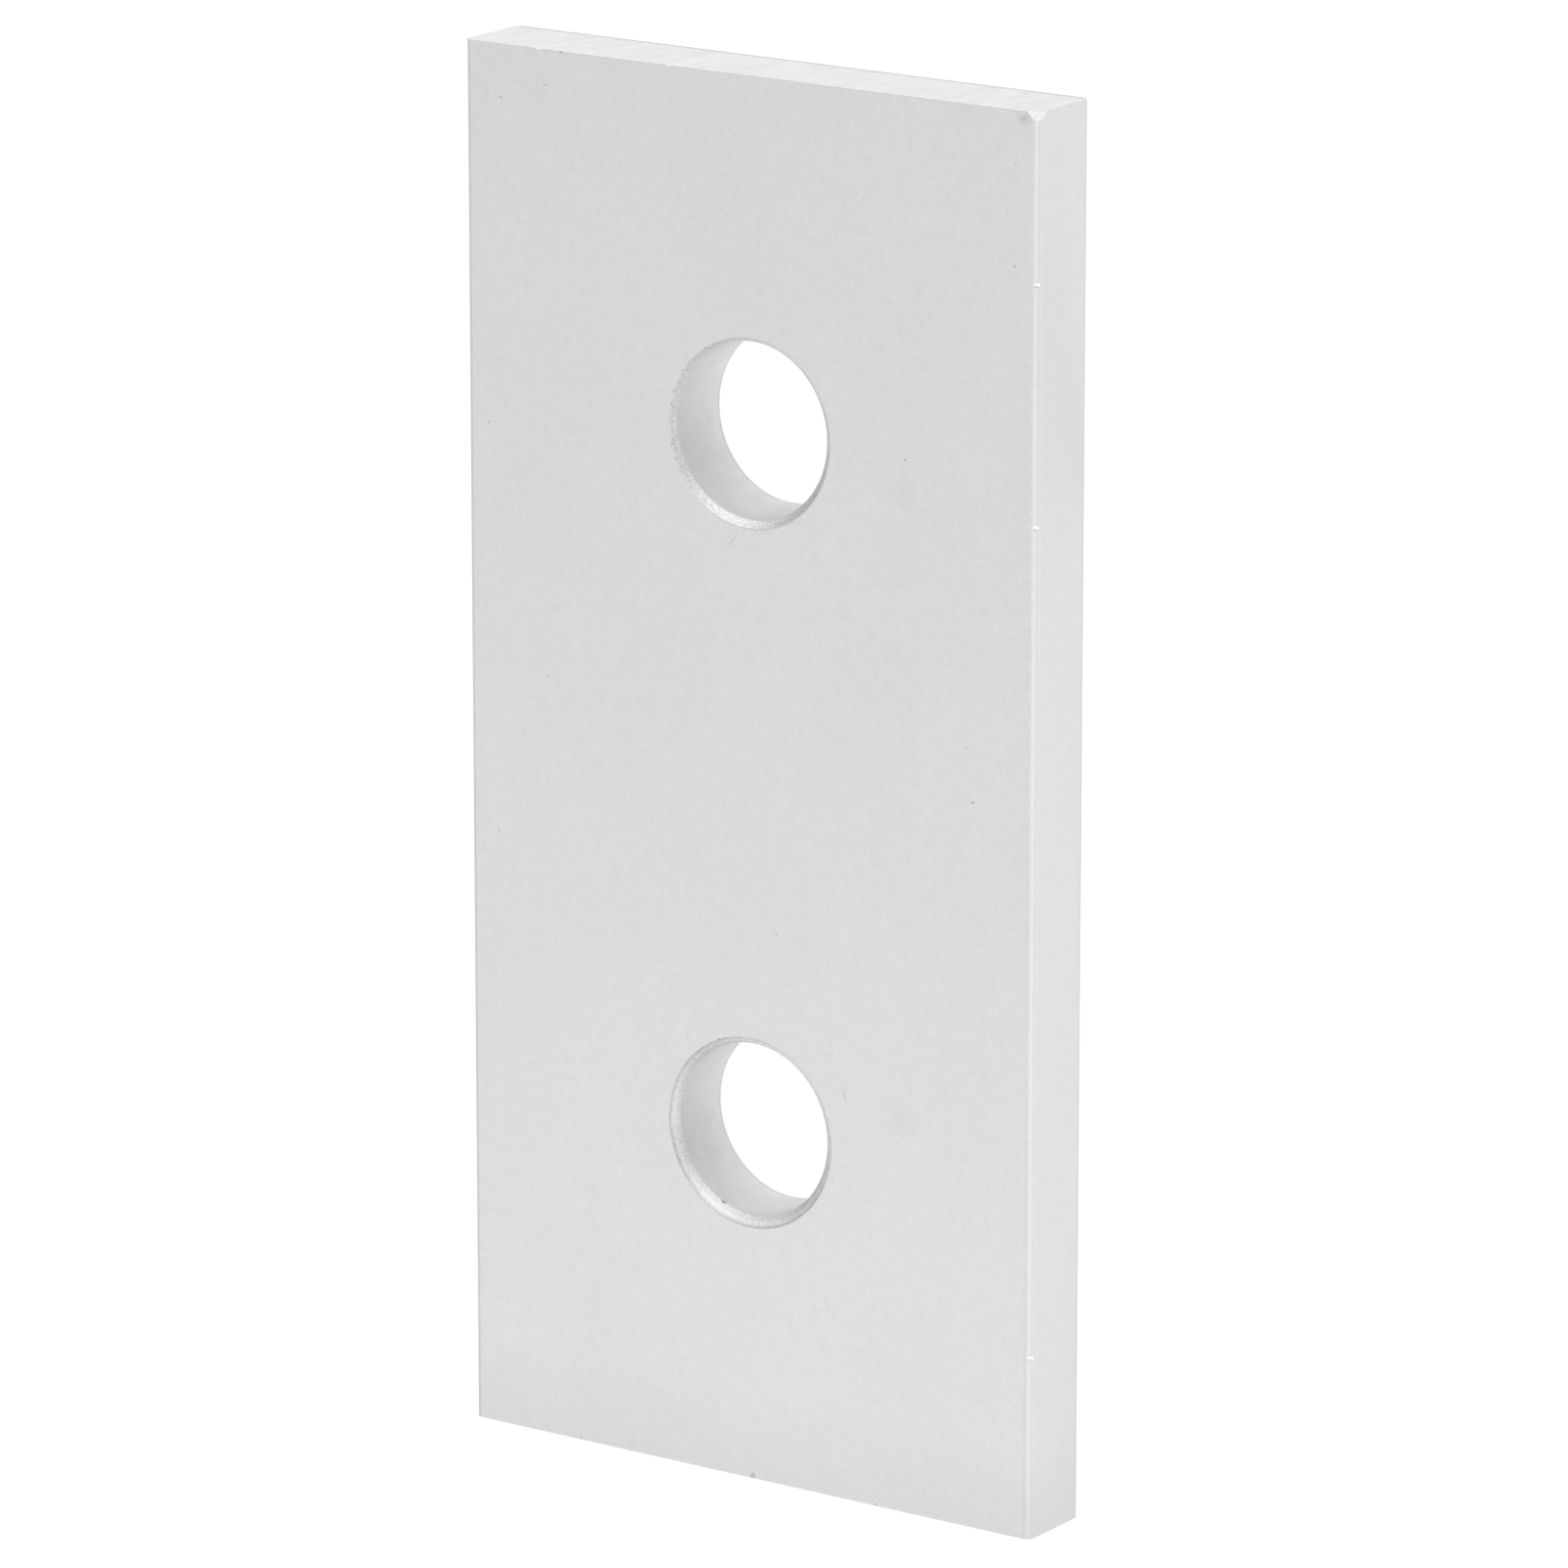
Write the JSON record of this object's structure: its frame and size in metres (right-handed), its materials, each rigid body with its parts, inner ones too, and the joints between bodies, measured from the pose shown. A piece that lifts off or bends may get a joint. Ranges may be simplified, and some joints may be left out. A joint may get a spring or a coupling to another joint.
{
  "type": "extrusion joining plate",
  "caption": "Flat rectangular aluminium plate with in-line bolt clearance holes, bolted across neighbouring slotted profiles to join them.",
  "frame": {"origin": "centre of the flat back face, which lies against the profiles or on the floor", "axes": "+X across the width, +Y along the length towards the end with the knocked corner, +Z out of the front face, where the bolt heads sit"},
  "size_m": [0.038, 0.08, 0.005],
  "materials": {
    "anodised_aluminium": "satin natural anodised"
  },
  "bodies": {
    "root": {"joining_plate": "anodised_aluminium"}
  },
  "joints": []
}
